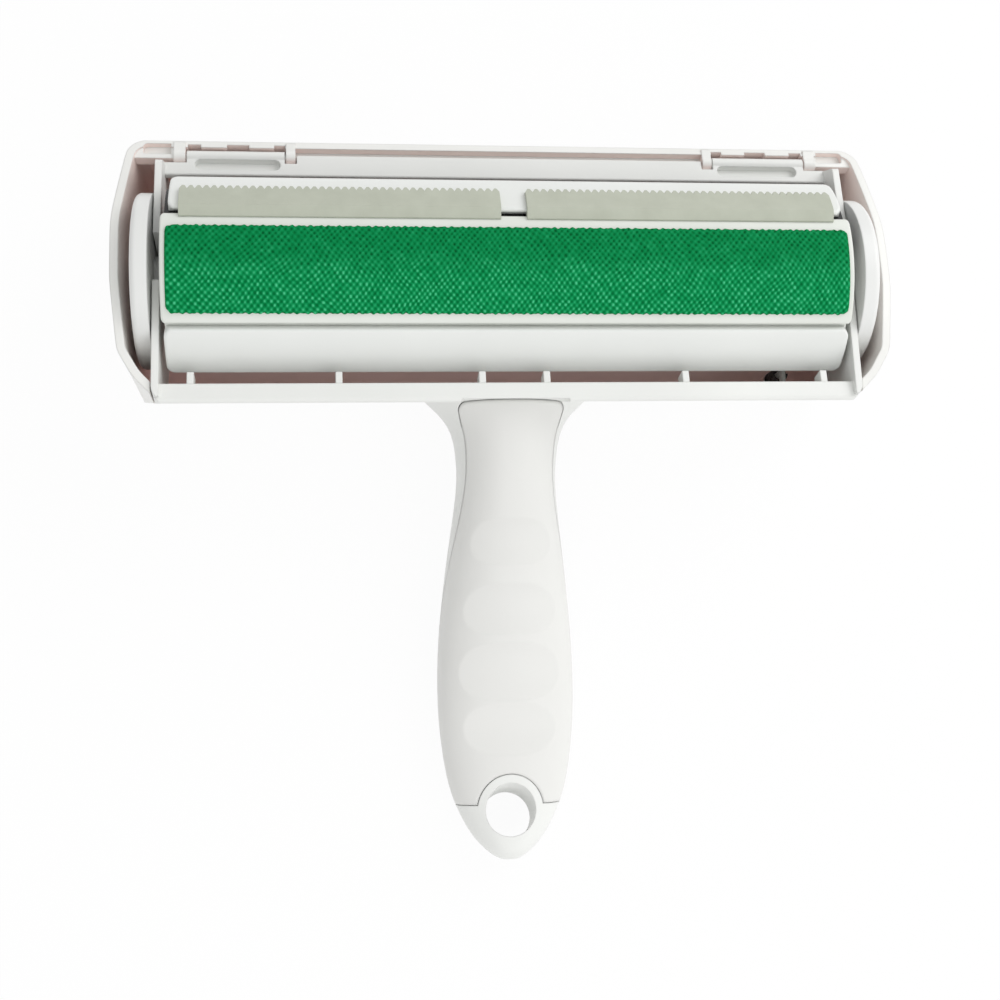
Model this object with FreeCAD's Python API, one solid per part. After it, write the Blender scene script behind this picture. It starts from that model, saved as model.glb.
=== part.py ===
"""Pet hair removal brush: a rocking drum with a pile strip and rubber combs in a head with a hinged dust bin.

The brush lies on its back, as it would on a table: the flat of the bin and the heel of the handle touch Z = 0,
the drum faces up, the hinge of the bin is towards +Y and the handle runs towards -Y.
The origin is on the table straight below the middle of the drum's axis. Sizes are in millimetres.

Three frames are used. The drum frame has the drum's axis along X and the pile strip's middle along +Z.
The head frame has the same axis and +Z square to the front of the head. The table frame is the final one.
"""
import FreeCAD, Part
import math
import os

Vec = FreeCAD.Vector

# How the head lies
AXIS_HEIGHT = 34.0            # drum axis above the table
HEAD_LEAN = 13.0              # the front of the head leans this far towards the hinge side, degrees
DRUM_ROCK = 18.0              # the drum rocks this far each way from the head's middle, degrees

# Drum surface: an arc flatter than the circle about the axis
SURFACE_RADIUS = 29.4
SURFACE_DROP = 5.4            # the arc's centre lies this far below the axis
SHELL_WALL = 2.0
SEAT_GAP = 0.1                # glued or clipped faces lie this far apart

# Pile strip and its panel
PANEL_WALL = 1.9
PANEL_HALF_ANGLE = 28.8
PANEL_HALF_LENGTH = 87.1
PILE_HEIGHT = 1.1
PILE_HALF_ANGLE = 22.2
PILE_HALF_LENGTH = 85.8
PILE_CORNER = 1.6
PILE_MIDDLE_ANGLE = -1.2      # the pile sits a little below the middle of the panel

# Bars beside the panel
BAR_START_ANGLE = 31.0
BAR_END_ANGLE = {"upper": 58.6, "lower": 57.4}
BAR_LIP = 1.0                 # wall of the upper bar beside the combs, undercut below
BAR_LIP_END = 33.6
BAR_HALF_LENGTH = {"upper": 85.3, "lower": 86.6}
BAR_CORNER = 2.4
EDGE_ROUND = 0.6

# Rubber combs over the upper bar
COMB_THICK = 1.1
COMB_STEM = 0.7
COMB_FOOT_ANGLE = 26.0
COMB_FOOT_EDGE = 0.4          # thickness of the sheet at its edge on the panel
COMB_SLOPE_ANGLE = 30.4
COMB_TIP_ANGLE = 43.8
COMB_INNER_END = 3.3
COMB_OUTER_END = 82.6
TOOTH_PITCH = 1.85
TOOTH_DEPTH = 1.4
COMB_CLEAR = 0.08

# Drum core
CORE_HALF_LENGTH = 86.4
CORE_HALF_ANGLE = 55.0
CORE_RIB = 1.8
CORE_RIB_COUNT = 5
CORE_WEB_OFFSET = 8.0
HUB_RADIUS = 9.5
BOSS_RADIUS = 4.6
BOSS_LENGTH = 12.0

# End discs, their journals and screws
DISC_RADIUS = 22.4
DISC_THICK = 4.3
DISC_ROUND = 1.5
JOURNAL_RADIUS = 6.6
BEARING_CLEAR = 0.05
SPIGOT_SIDE = 6.0
SPIGOT_CLEAR = 0.1
SPIGOT_LENGTH = 3.0
SCREW_RADIUS = 1.2
SCREW_CLEAR = 0.08
SCREW_LENGTH = 13.0
SCREW_HEAD_RADIUS = 2.7
SCREW_HEAD_HEIGHT = 1.5
SCREW_SINK = 0.3
CROSS_WIDTH = 0.7
CROSS_LENGTH = 3.0
CROSS_DEPTH = 0.8

# Head frame
CHEEK_WALL = 1.8
CHEEK_CLEAR = 0.8             # between the panel's ends and the cheeks
DISC_CLEAR = 0.4              # between the cheeks and the discs
CROWN_HEIGHT = 12.3           # front edge of the bin's end walls above the axis, at the middle
CROWN_RADIUS = 150.0
CHEEK_CREST = ((-36.0, 9.2), (-20.0, 11.2), (2.0, 14.3), (27.2, 14.6), (30.5, 7.9))
CREST_ROUNDS = (0.0, 40.0, 40.0, 1.2, 0.0)
SNAP_HALF_WIDTH = 6.25        # mouth of the bearing notch, narrower than the journal
PLATE_WALL = 2.0
LOWER_FRONT = 7.6             # front of the lower edge above the axis
LOWER_INNER = -31.8
LOWER_OUTER = -37.3
LOWER_ROUND = 1.0
LOWER_WALL = 2.2
UPPER_FRONT = 7.9
UPPER_INNER = 27.0
UPPER_OUTER = 33.4
UPPER_SKIRT = -8.0
PLATE_END = 30.7              # the plate and the cheeks end here beside the hinges and at the head's ends
FIN_WALL = 1.7
FIN_REACH = 3.1
FIN_DEPTH = 5.0
FIN_PLACES = (8.2, 44.1, 80.5)
FRAME_CORNER = 4.0

# Dust bin lid
LID_WALL = 2.1
LID_TOP = 37.3
LID_FRONT_PLANE = 14.0        # the outline of the bin is given in two planes of the head frame
LID_BACK_PLANE = -46.0
LID_FRONT_OUTLINE = ((87.2, -38.5), (94.2, -31.4), (98.1, -24.9), (100.3, -6.3), (100.8, 11.8), (99.1, 24.9),
                     (98.3, 31.4), (97.3, 36.9))
LID_BACK_OUTLINE = ((88.0, -29.0), (94.4, -22.0), (97.0, -14.0), (96.9, 5.0), (97.0, 17.0), (96.0, 27.0),
                    (95.2, 33.0), (94.2, 42.6))
LID_FRONT_ROUNDS = (2.0, 14.0, 8.0, 60.0, 50.0, 30.0, 20.0, 5.6)
LID_BACK_ROUNDS = (2.0, 9.0, 8.0, 16.0, 30.0, 30.0, 20.0, 5.6)
LID_FLOOR_HALF_WIDTH = 98.2
LID_END_SLOPE = 0.09
LID_EDGE_ROUND = 9.0
STEP_INNER = 33.85            # the step inside the rim, in the head frame
STEP_LOW = 3.4
STEP_HIGH = 5.6
BIN_LOWER_DRAFT = 11.3
BIN_UPPER_DRAFT = 8.0
BIN_LOWER_ROUND = 14.0
BIN_UPPER_ROUND = 16.0
LID_PARTING = 15.0            # height of the joint below the handle's root
LID_GAP = 0.3
LID_RIM_TOP = 8.2

# Lid hinge
HINGE_Y = 33.0
HINGE_Z = 6.5
KNUCKLE_RADIUS = 1.8
HINGE_PIN_RADIUS = 1.1
HINGE_PIN_LENGTH = 2.2
TAB_INNER = 57.3
TAB_OUTER = 82.5
POST_INNER_WIDTH = 2.5
POST_OUTER_WIDTH = 3.1
POST_RADIUS = 2.0
POST_GAP = 0.3
SLOT_INNER = 58.4
SLOT_OUTER = 80.4
SLOT_LOW = 28.6
SLOT_HIGH = 31.7
SLOT_DEPTH = 1.9
SLOT_FLOOR = 1.2
POCKET_INNER = 86.5
POCKET_OUTER = 93.6
POCKET_LOW = 33.3
POCKET_HIGH = 36.3
POCKET_DEPTH = 1.6
GUSSET_LOW = 32.0
GUSSET_TOP = 7.7
GUSSET_THICK = 3.2
DASHES = ((57.2, 60.0), (66.5, 72.2), (78.9, 82.2))
DASH_WIDTH = 0.9
DASH_DEPTH = 4.0

# Handle: place along the handle, half width, back, widest line and front of each section
HANDLE_STATIONS = (
    (-26.0, 24.5, 15.6, 28.0, 44.6),
    (-30.0, 21.6, 15.4, 27.6, 44.5),
    (-33.0, 18.4, 15.0, 27.0, 44.2),
    (-36.0, 15.9, 14.6, 26.2, 43.2),
    (-39.5, 14.3, 14.1, 25.2, 41.9),
    (-44.0, 13.45, 13.2, 23.8, 40.4),
    (-50.0, 13.1, 11.6, 22.0, 38.4),
    (-57.0, 13.65, 9.5, 19.6, 35.8),
    (-67.0, 15.05, 6.6, 16.2, 31.9),
    (-80.0, 16.75, 3.5, 12.4, 26.8),
    (-92.0, 17.95, 1.3, 10.0, 22.7),
    (-104.0, 18.45, 0.2, 8.6, 19.5),
    (-116.0, 18.1, 0.0, 7.8, 17.4),
    (-126.0, 16.9, 0.0, 7.3, 16.2),
    (-134.0, 15.1, 0.1, 7.2, 15.5),
    (-140.5, 12.4, 0.5, 7.2, 14.9),
    (-145.5, 9.4, 1.3, 7.3, 14.0),
    (-148.7, 6.5, 2.4, 7.5, 12.9),
    (-150.5, 4.2, 3.8, 7.7, 11.6),
    (-151.4, 2.3, 5.2, 7.9, 10.4),
)
SECTION_POWER = 2.35
SECTION_POINTS = 24
HANDLE_WALL = 2.3
CAVITY_START = -38.0
CAVITY_END = -146.0

# Hanging hole
HOLE_RADIUS = 6.7
HOLE_Y = -138.0
HOLE_FRONT = 15.0
HOLE_WALL = 2.0

# Front cover of the handle
COVER_GAP = 0.16
COVER_BITE = 0.7              # the cover's top edge sits this deep in the lower wall
COVER_TOP_HALF_WIDTH = 14.0
COVER_TOP = -32.9
COVER_TOP_ROUND = 1.6
COVER_FOOT = -136.6
COVER_ARCH_RADIUS = 9.0
PARTING_LINE = ((-30.0, 37.5), (-44.0, 33.6), (-64.0, 24.5), (-84.0, 13.2), (-100.0, 9.2), (-120.0, 7.6), (-150.0, 7.2))
DIMPLES = ((-68.0, 6.3, 9.9, 1.0), (-85.3, 6.9, 12.0, 1.2), (-101.0, 7.5, 13.3, 1.3), (-117.2, 6.8, 12.3, 1.1))
COVER_POST_PLACES = (-72.0, -112.0)
COVER_POST_RADIUS = 3.2
COVER_POST_BORE = 1.4

# Release button, its spring and the latch
BUTTON_Y = -47.0
BUTTON_LENGTH = 11.0
BUTTON_WIDTH = 14.0
BUTTON_CORNER = 3.0
BUTTON_CLEAR = 0.2
BUTTON_PROUD = 1.6
BUTTON_FLANGE = 1.2
BUTTON_FLANGE_THICK = 1.5
BUTTON_TRAVEL = 2.0
PAD_TOP = 15.4
SPRING_WIRE = 0.35
BUTTON_SPRING_RADIUS = 2.6
BUTTON_SPRING_TURNS = 6
BUTTON_SPRING_LENGTH = 8.0
LATCH_HALF_WIDTH = 4.0
LATCH_WALL = 1.6
LATCH_REACH = 8.0
LATCH_BARB = 1.2
LATCH_BARB_HEIGHT = 2.0
WINDOW_CLEAR = 1.2
NOSE_HALF_WIDTH = 3.0
NOSE_CLEAR = 0.4

# Lid spring
LID_SPRING_X = 76.0
LID_SPRING_Y = -22.8
LID_SPRING_RADIUS = 1.75
LID_SPRING_TURNS = 6
LID_SPRING_TOP = 26.3
LID_SPRING_SEAT = 17.0
SEAT_RADIUS = 2.1
PIN_RADIUS = 0.9
ARM_WALL = 1.0

FAR = 300.0                   # longer than the brush

# Derived places along the axis
CHEEK_IN = PANEL_HALF_LENGTH + CHEEK_CLEAR
CHEEK_OUT = CHEEK_IN + CHEEK_WALL
DISC_IN = CHEEK_OUT + DISC_CLEAR
DISC_OUT = DISC_IN + DISC_THICK


def to_table(y, z):
    """A head-frame point in the YZ plane, in the table frame."""
    lean = math.radians(HEAD_LEAN)
    return (y * math.cos(lean) + z * math.sin(lean), -y * math.sin(lean) + z * math.cos(lean) + AXIS_HEIGHT)


def to_head(y, z):
    """A table-frame point in the YZ plane, in the head frame."""
    lean = math.radians(HEAD_LEAN)
    z = z - AXIS_HEIGHT
    return (y * math.cos(lean) - z * math.sin(lean), y * math.sin(lean) + z * math.cos(lean))


def lean(shape):
    """Moves a head-frame shape to the table frame."""
    moved = shape.copy()
    moved.rotate(Vec(0, 0, 0), Vec(1, 0, 0), -HEAD_LEAN)
    moved.translate(Vec(0, 0, AXIS_HEIGHT))
    return moved


def rock(shape):
    """Moves a drum-frame shape to the table frame: rocked fully towards the handle, then leaned with the head."""
    moved = shape.copy()
    moved.rotate(Vec(0, 0, 0), Vec(1, 0, 0), DRUM_ROCK)
    return lean(moved)


def merged(shape):
    """The shape with its split faces joined."""
    return shape.removeSplitter()


def mirror_x(shape):
    return shape.mirror(Vec(0, 0, 0), Vec(1, 0, 0))


def inset(corners, distances):
    """The corners of a counter-clockwise outline after each edge has moved inwards by its distance."""
    lines = []
    count = len(corners)
    for i in range(count):
        (ax, ay), (bx, by) = corners[i], corners[(i + 1) % count]
        length = math.hypot(bx - ax, by - ay)
        nx, ny = -(by - ay) / length, (bx - ax) / length
        lines.append((ax + nx * distances[i], ay + ny * distances[i], bx - ax, by - ay))
    moved = []
    for i in range(count):
        px, py, dx, dy = lines[i - 1]
        qx, qy, ex, ey = lines[i]
        step = ((qx - px) * ey - (qy - py) * ex) / (dx * ey - dy * ex)
        moved.append((px + dx * step, py + dy * step))
    return moved


def rounded_face(corners, radii, place):
    """A flat face with rounded corners. place turns a pair into a point in space."""
    count = len(corners)
    starts, ends, middles = [], [], []
    for i in range(count):
        corner = Vec(*corners[i], 0)
        to_last = (Vec(*corners[i - 1], 0) - corner).normalize()
        to_next = (Vec(*corners[(i + 1) % count], 0) - corner).normalize()
        if radii[i] <= 0:
            starts.append(corner)
            ends.append(corner)
            middles.append(None)
            continue
        half = math.acos(max(-1.0, min(1.0, to_last.dot(to_next)))) / 2
        reach = radii[i] / math.tan(half)
        centre = corner + (to_last + to_next).normalize() * (radii[i] / math.sin(half))
        starts.append(corner + to_last * reach)
        ends.append(corner + to_next * reach)
        middles.append(centre + (corner - centre).normalize() * radii[i])
    edges = []
    for i in range(count):
        if middles[i] is not None:
            points = [place(p.x, p.y) for p in (starts[i], middles[i], ends[i])]
            edges.append(Part.Arc(*points).toShape())
        after = (i + 1) % count
        if (starts[after] - ends[i]).Length > 1e-6:
            edges.append(Part.makeLine(place(ends[i].x, ends[i].y), place(starts[after].x, starts[after].y)))
    return Part.Face(Part.Wire(edges))


def along_x(corners, x0, x1, radii=None):
    """A prism along X from an outline of (y, z) corners."""
    radii = radii or [0] * len(corners)
    return rounded_face(corners, radii, lambda y, z: Vec(x0, y, z)).extrude(Vec(x1 - x0, 0, 0))


def along_z(corners, z0, z1, radii=None):
    """A prism along Z from an outline of (x, y) corners."""
    radii = radii or [0] * len(corners)
    return rounded_face(corners, radii, lambda x, y: Vec(x, y, z0)).extrude(Vec(0, 0, z1 - z0))


def along_y(corners, y0, y1, radii=None):
    """A prism along Y from an outline of (x, z) corners."""
    radii = radii or [0] * len(corners)
    return rounded_face(corners, radii, lambda x, z: Vec(x, y0, z)).extrude(Vec(0, y1 - y0, 0))


def block(x0, x1, y0, y1, z0, z1):
    return Part.makeBox(x1 - x0, y1 - y0, z1 - z0, Vec(x0, y0, z0))


def rod_x(radius, x0, x1, y=0.0, z=0.0):
    return Part.makeCylinder(radius, x1 - x0, Vec(x0, y, z), Vec(1, 0, 0))


def rod_z(radius, z0, z1, x, y):
    return Part.makeCylinder(radius, z1 - z0, Vec(x, y, z0), Vec(0, 0, 1))


def surface_point(radius, angle):
    """A drum-frame (y, z) point at an angle on an arc about the drum surface's centre."""
    turn = math.radians(angle)
    return (radius * math.sin(turn), radius * math.cos(turn) - SURFACE_DROP)


def sector(r_in, r_out, angle0, angle1, x0, x1):
    """A curved slab along X between two radii about the drum surface's centre."""
    middle = (angle0 + angle1) / 2

    def at(radius, angle):
        return Vec(x0, *surface_point(radius, angle))

    edges = [
        Part.Arc(at(r_out, angle0), at(r_out, middle), at(r_out, angle1)).toShape(),
        Part.makeLine(at(r_out, angle1), at(r_in, angle1)),
        Part.Arc(at(r_in, angle1), at(r_in, middle), at(r_in, angle0)).toShape(),
        Part.makeLine(at(r_in, angle0), at(r_out, angle0)),
    ]
    return Part.Face(Part.Wire(edges)).extrude(Vec(x1 - x0, 0, 0))


def rounded_slab(r_in, r_out, half_angle, half_length, corner):
    """A curved slab about the middle of the drum's surface, with rounded corners seen from outside."""
    slab = sector(r_in, r_out, -half_angle, half_angle, -half_length, half_length)
    reach = r_out * math.sin(math.radians(half_angle))
    corners = [(-half_length, -reach), (half_length, -reach), (half_length, reach), (-half_length, reach)]
    return slab.common(along_z(corners, 0, 2 * r_out, [corner] * 4))


def turn_on_surface(shape, angle):
    """Moves a slab round the drum's surface towards the hinge side."""
    moved = shape.copy()
    moved.rotate(Vec(0, 0, -SURFACE_DROP), Vec(1, 0, 0), -angle)
    return moved


CORE_TOP = SURFACE_RADIUS - PILE_HEIGHT + 0.2 - PANEL_WALL - SEAT_GAP
PANEL_TOP = CORE_TOP + SEAT_GAP + PANEL_WALL


def fabric_panel():
    slab = rounded_slab(CORE_TOP + SEAT_GAP, PANEL_TOP, PANEL_HALF_ANGLE, PANEL_HALF_LENGTH, PILE_CORNER)
    return rock(slab.makeFillet(EDGE_ROUND, [slab.Edges[i] for i in outer_edges(slab, PANEL_TOP)]))


def outer_edges(shape, radius):
    """Numbers of the edges that lie all along the outer surface of a slab."""
    found = []
    for number, edge in enumerate(shape.Edges):
        places = [edge.valueAt(t) for t in (edge.FirstParameter, edge.LastParameter)]
        places.append(edge.valueAt((edge.FirstParameter + edge.LastParameter) / 2))
        if all(abs(math.hypot(p.y, p.z + SURFACE_DROP) - radius) < 1e-3 for p in places):
            found.append(number)
    return found


def pile_strip():
    slab = rounded_slab(PANEL_TOP, PANEL_TOP + PILE_HEIGHT, PILE_HALF_ANGLE, PILE_HALF_LENGTH, PILE_CORNER)
    return rock(turn_on_surface(slab, PILE_MIDDLE_ANGLE))


def bar(side):
    """One long bar beside the panel. side is upper or lower."""
    half = (BAR_END_ANGLE[side] - BAR_START_ANGLE) / 2
    slab = rounded_slab(CORE_TOP + SEAT_GAP, SURFACE_RADIUS, half, BAR_HALF_LENGTH[side], BAR_CORNER)
    slab = slab.makeFillet(EDGE_ROUND, [slab.Edges[i] for i in outer_edges(slab, SURFACE_RADIUS)])
    middle = (BAR_END_ANGLE[side] + BAR_START_ANGLE) / 2
    if side == "lower":
        return rock(turn_on_surface(slab, -middle))
    undercut = sector(CORE_TOP, SURFACE_RADIUS - BAR_LIP, BAR_START_ANGLE - 1.0, BAR_LIP_END, -FAR, FAR)
    return rock(turn_on_surface(slab, middle).cut(undercut))


def stem_angles():
    """Where the comb's stem stands in the gap between the panel and the upper bar."""
    middle = (PANEL_HALF_ANGLE + BAR_START_ANGLE) / 2
    half = math.degrees(COMB_STEM / 2 / PANEL_TOP)
    return middle - half, middle + half


def comb():
    """The right-hand rubber comb: a stem in the slot, a foot on the panel's edge and a toothed blade on the bar."""
    low, high = stem_angles()
    top = SURFACE_RADIUS + COMB_CLEAR + COMB_THICK
    stem = sector(CORE_TOP - SHELL_WALL, top - COMB_THICK / 2, low, high, COMB_INNER_END, COMB_OUTER_END)
    foot = sector(PANEL_TOP + COMB_CLEAR, top, COMB_FOOT_ANGLE, high, COMB_INNER_END, COMB_OUTER_END)
    blade = sector(SURFACE_RADIUS + COMB_CLEAR, top, COMB_FOOT_ANGLE, COMB_TIP_ANGLE, COMB_INNER_END, COMB_OUTER_END)
    whole = stem.fuse([foot, blade]).cut(foot_slope(top))
    return merged(whole.common(tooth_outline(top)))


def foot_slope(top):
    """What is cut off the comb's thick edge, so that the sheet thins out on the panel."""
    corners = [
        surface_point(PANEL_TOP + COMB_CLEAR + COMB_FOOT_EDGE, COMB_FOOT_ANGLE - 0.01),
        surface_point(top, COMB_SLOPE_ANGLE),
        surface_point(top + 2.0, COMB_SLOPE_ANGLE),
        surface_point(top + 2.0, COMB_FOOT_ANGLE - 1.0),
        surface_point(PANEL_TOP + COMB_CLEAR + COMB_FOOT_EDGE, COMB_FOOT_ANGLE - 1.0),
    ]
    return along_x(corners, -1, COMB_OUTER_END + 1)


def tooth_outline(top):
    """A prism square to the blade whose far side is a row of pointed teeth."""
    tip = surface_point(top, COMB_TIP_ANGLE)[0] + 0.01
    valley = tip - TOOTH_DEPTH * math.cos(math.radians(COMB_TIP_ANGLE))
    count = int((COMB_OUTER_END - COMB_INNER_END) / TOOTH_PITCH)
    step = (COMB_OUTER_END - COMB_INNER_END) / count
    corners = [(COMB_INNER_END, 0.0), (COMB_OUTER_END, 0.0), (COMB_OUTER_END, valley)]
    for i in range(count):
        corners.append((COMB_OUTER_END - (i + 0.35) * step, tip))
        corners.append((COMB_OUTER_END - (i + 0.65) * step, tip))
        corners.append((COMB_OUTER_END - (i + 1.0) * step, valley))
    return along_z(corners, 0, 2 * top)


def core_plate(x0, x1):
    """A cross plate of the drum core, from the shell down to a round hub."""
    radius = CORE_TOP - SHELL_WALL / 2
    left = surface_point(radius, -CORE_HALF_ANGLE)
    right = surface_point(radius, CORE_HALF_ANGLE)
    top = surface_point(radius, 0)
    edges = [
        Part.Arc(Vec(x0, *left), Vec(x0, *top), Vec(x0, *right)).toShape(),
        Part.makeLine(Vec(x0, *right), Vec(x0, HUB_RADIUS, 0)),
        Part.Arc(Vec(x0, HUB_RADIUS, 0), Vec(x0, 0, -HUB_RADIUS), Vec(x0, -HUB_RADIUS, 0)).toShape(),
        Part.makeLine(Vec(x0, -HUB_RADIUS, 0), Vec(x0, *left)),
    ]
    return Part.Face(Part.Wire(edges)).extrude(Vec(x1 - x0, 0, 0))


def drum_core():
    """A curved shell with cross plates, two long webs and a boss for the screw at each end."""
    shell = sector(CORE_TOP - SHELL_WALL, CORE_TOP, -CORE_HALF_ANGLE, CORE_HALF_ANGLE, -CORE_HALF_LENGTH, CORE_HALF_LENGTH)
    pieces = []
    span = 2 * CORE_HALF_LENGTH - CORE_RIB
    for i in range(CORE_RIB_COUNT):
        x = -CORE_HALF_LENGTH + span * i / (CORE_RIB_COUNT - 1)
        pieces.append(core_plate(x, x + CORE_RIB))
    web_top = surface_point(CORE_TOP - SHELL_WALL, 0)[1] - 1.0
    for side in (-1, 1):
        y = side * CORE_WEB_OFFSET
        web = block(-CORE_HALF_LENGTH, CORE_HALF_LENGTH, y - CORE_RIB / 2, y + CORE_RIB / 2, 3.0, web_top)
        pieces.append(web)
        x0 = CORE_HALF_LENGTH - BOSS_LENGTH if side > 0 else -CORE_HALF_LENGTH
        pieces.append(rod_x(BOSS_RADIUS, x0, x0 + BOSS_LENGTH))
    core = shell.fuse(pieces)
    low, high = stem_angles()
    gap = math.degrees(COMB_CLEAR / CORE_TOP)
    for side in (-1, 1):
        ends = sorted((side * (COMB_INNER_END - COMB_CLEAR), side * (COMB_OUTER_END + COMB_CLEAR)))
        core = core.cut(sector(CORE_TOP - SHELL_WALL - 1.5, CORE_TOP + 1, low - gap, high + gap, *ends))
        core = core.cut(mirror_if(side, spigot(SPIGOT_CLEAR)))
        core = core.cut(mirror_if(side, rod_x(SCREW_RADIUS + SCREW_CLEAR, CORE_HALF_LENGTH - BOSS_LENGTH, DISC_IN)))
    return rock(merged(core))


def mirror_if(side, shape):
    return shape if side > 0 else mirror_x(shape)


def spigot(clear):
    """The square drive of the right-hand disc, or its socket when a clearance is given."""
    half = SPIGOT_SIDE / 2 + clear
    start = CORE_HALF_LENGTH - SPIGOT_LENGTH - clear
    return block(start, CORE_HALF_LENGTH + SEAT_GAP, -half, half, -half, half)


def end_disc(side):
    """A round end disc with its journal and square drive. side is 1 on the right and -1 on the left."""
    disc = rod_x(DISC_RADIUS, DISC_IN, DISC_OUT)
    rim = [e for e in disc.Edges if e.Closed and abs(e.CenterOfMass.x - DISC_OUT) < 1e-6]
    disc = disc.makeFillet(DISC_ROUND, rim)
    journal = rod_x(JOURNAL_RADIUS, CORE_HALF_LENGTH + SEAT_GAP, DISC_IN)
    whole = disc.fuse([journal, spigot(0.0)])
    whole = whole.cut(rod_x(SCREW_RADIUS + SCREW_CLEAR, 0, FAR))
    whole = whole.cut(rod_x(SCREW_HEAD_RADIUS + 0.3, DISC_OUT - SCREW_HEAD_HEIGHT - SCREW_SINK, FAR))
    return rock(mirror_if(side, merged(whole)))


def disc_screw(side):
    """A pan-head screw that holds a disc to the drum core, with a cross recess."""
    seat = DISC_OUT - SCREW_HEAD_HEIGHT - SCREW_SINK
    screw = rod_x(SCREW_HEAD_RADIUS, seat, seat + SCREW_HEAD_HEIGHT)
    screw = screw.fuse(rod_x(SCREW_RADIUS, seat - SCREW_LENGTH, seat))
    top = seat + SCREW_HEAD_HEIGHT
    for width, length in ((CROSS_WIDTH, CROSS_LENGTH), (CROSS_LENGTH, CROSS_WIDTH)):
        screw = screw.cut(block(top - CROSS_DEPTH, top + 1, -width / 2, width / 2, -length / 2, length / 2))
    return rock(mirror_if(side, merged(screw)))


def side_corners():
    """The side profile of the whole head in the table frame: a deep tray, flat on the table."""
    low_y, low_z = to_table(LOWER_OUTER, LOWER_FRONT)
    high_y, high_z = to_table(LID_TOP, LID_RIM_TOP)
    low_slope = math.tan(math.radians(BIN_LOWER_DRAFT))
    high_slope = math.tan(math.radians(BIN_UPPER_DRAFT))
    top = max(low_z, high_z) + CROWN_HEIGHT
    return [
        (low_y - (top - low_z) * low_slope, top),
        (low_y + low_z * low_slope, 0.0),
        (high_y - high_z * high_slope, 0.0),
        (high_y + (top - high_z) * high_slope, top),
    ]


def side_prism(wall):
    corners = inset(side_corners(), [wall, wall, wall, 0.0])
    if wall:
        corners[0] = (corners[0][0], corners[0][1] + 1.0)
        corners[3] = (corners[3][0], corners[3][1] + 1.0)
    radii = [0, BIN_LOWER_ROUND - wall, BIN_UPPER_ROUND - wall, 0]
    return along_x(corners, -FAR, FAR, radii)


def plan_wire(outline, rounds, plane, wall):
    """The whole outline of the bin in one plane, from its right-hand half."""
    corners = list(outline) + [(-x, y) for x, y in reversed(outline)]
    corners = inset(corners, [wall] * len(corners))
    radii = [max(0.5, r - wall) for r in rounds + rounds[::-1]]
    return rounded_face(corners, radii, lambda x, y: Vec(x, y, plane)).OuterWire


def plan_form(wall):
    """The bin seen from the front of the head, narrower towards its floor."""
    front = plan_wire(LID_FRONT_OUTLINE, LID_FRONT_ROUNDS, LID_FRONT_PLANE, wall)
    back = plan_wire(LID_BACK_OUTLINE, LID_BACK_ROUNDS, LID_BACK_PLANE, wall)
    return lean(Part.makeLoft([front, back], True, True))


def end_prism(wall):
    """The outline of the lid seen along the handle, which rounds its lower ends."""
    half = LID_FLOOR_HALF_WIDTH - wall
    top = half + LID_END_SLOPE * FAR
    corners = [(-half, wall), (half, wall), (top, FAR), (-top, FAR)]
    radius = LID_EDGE_ROUND - wall
    return along_y(corners, -FAR, FAR, [radius, radius, 0, 0])


def lid_form(wall):
    return side_prism(wall).common(plan_form(wall)).common(end_prism(wall))


def crown():
    """Everything below the crowned front edge of the head."""
    return lean(rod_x(CROWN_RADIUS, -FAR, FAR, 0, CROWN_HEIGHT - CROWN_RADIUS))


def lower_wall_corners(depth_z):
    """The lower wall of the frame in the head frame, with its thick front edge, down to a table height."""
    outer_y, outer_z = to_table(LOWER_OUTER, LOWER_FRONT)
    slope = math.tan(math.radians(BIN_LOWER_DRAFT))
    end_outer = to_head(outer_y + (outer_z - depth_z) * slope, depth_z)
    end_inner = to_head(outer_y + (outer_z - depth_z) * slope + LOWER_WALL, depth_z)
    neck_y, neck_z = to_table(LOWER_OUTER, LOWER_FRONT - PLATE_WALL - 0.4)
    neck = to_head(outer_y + (outer_z - neck_z) * slope + LOWER_WALL, neck_z)
    return [
        (LOWER_INNER, LOWER_FRONT),
        (LOWER_OUTER, LOWER_FRONT),
        end_outer,
        end_inner,
        neck,
        (LOWER_INNER, neck[1]),
    ]


def frame_shell():
    """The frame round the drum: lower wall, upper plate and skirt, cheeks with bearing notches, fins."""
    lower = along_x(lower_wall_corners(LID_PARTING), -CHEEK_OUT, CHEEK_OUT, [0.5, LOWER_ROUND, 0, 0, 0.6, 0])
    upper_corners = [
        (UPPER_INNER, UPPER_FRONT),
        (UPPER_INNER, UPPER_FRONT - PLATE_WALL),
        (UPPER_OUTER - PLATE_WALL, UPPER_FRONT - PLATE_WALL),
        (UPPER_OUTER - PLATE_WALL, UPPER_SKIRT),
        (UPPER_OUTER, UPPER_SKIRT),
        (UPPER_OUTER, UPPER_FRONT),
    ]
    upper = along_x(upper_corners, -CHEEK_OUT, CHEEK_OUT, [0.5, 0.4, 0.6, 0, 0, 0.5])
    for side in (-1, 1):
        x0, x1 = hinge_zone(side)
        upper = upper.cut(block(x0, x1, PLATE_END, FAR, -FAR, FAR))
    pieces = [upper]
    for side in (-1, 1):
        pieces.append(mirror_if(side, cheek()))
        pieces.append(mirror_if(side, hinge_tab()))
        for place in FIN_PLACES:
            pieces.append(mirror_if(side, fin(place)))
    pieces.append(spring_arm())
    frame = lower.fuse(pieces)
    high = UPPER_OUTER + 2
    corners = [(-CHEEK_OUT, LOWER_OUTER), (CHEEK_OUT, LOWER_OUTER), (CHEEK_OUT, high), (-CHEEK_OUT, high)]
    return frame.common(along_z(corners, -FAR, FAR, [FRAME_CORNER, FRAME_CORNER, 0, 0]))


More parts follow.
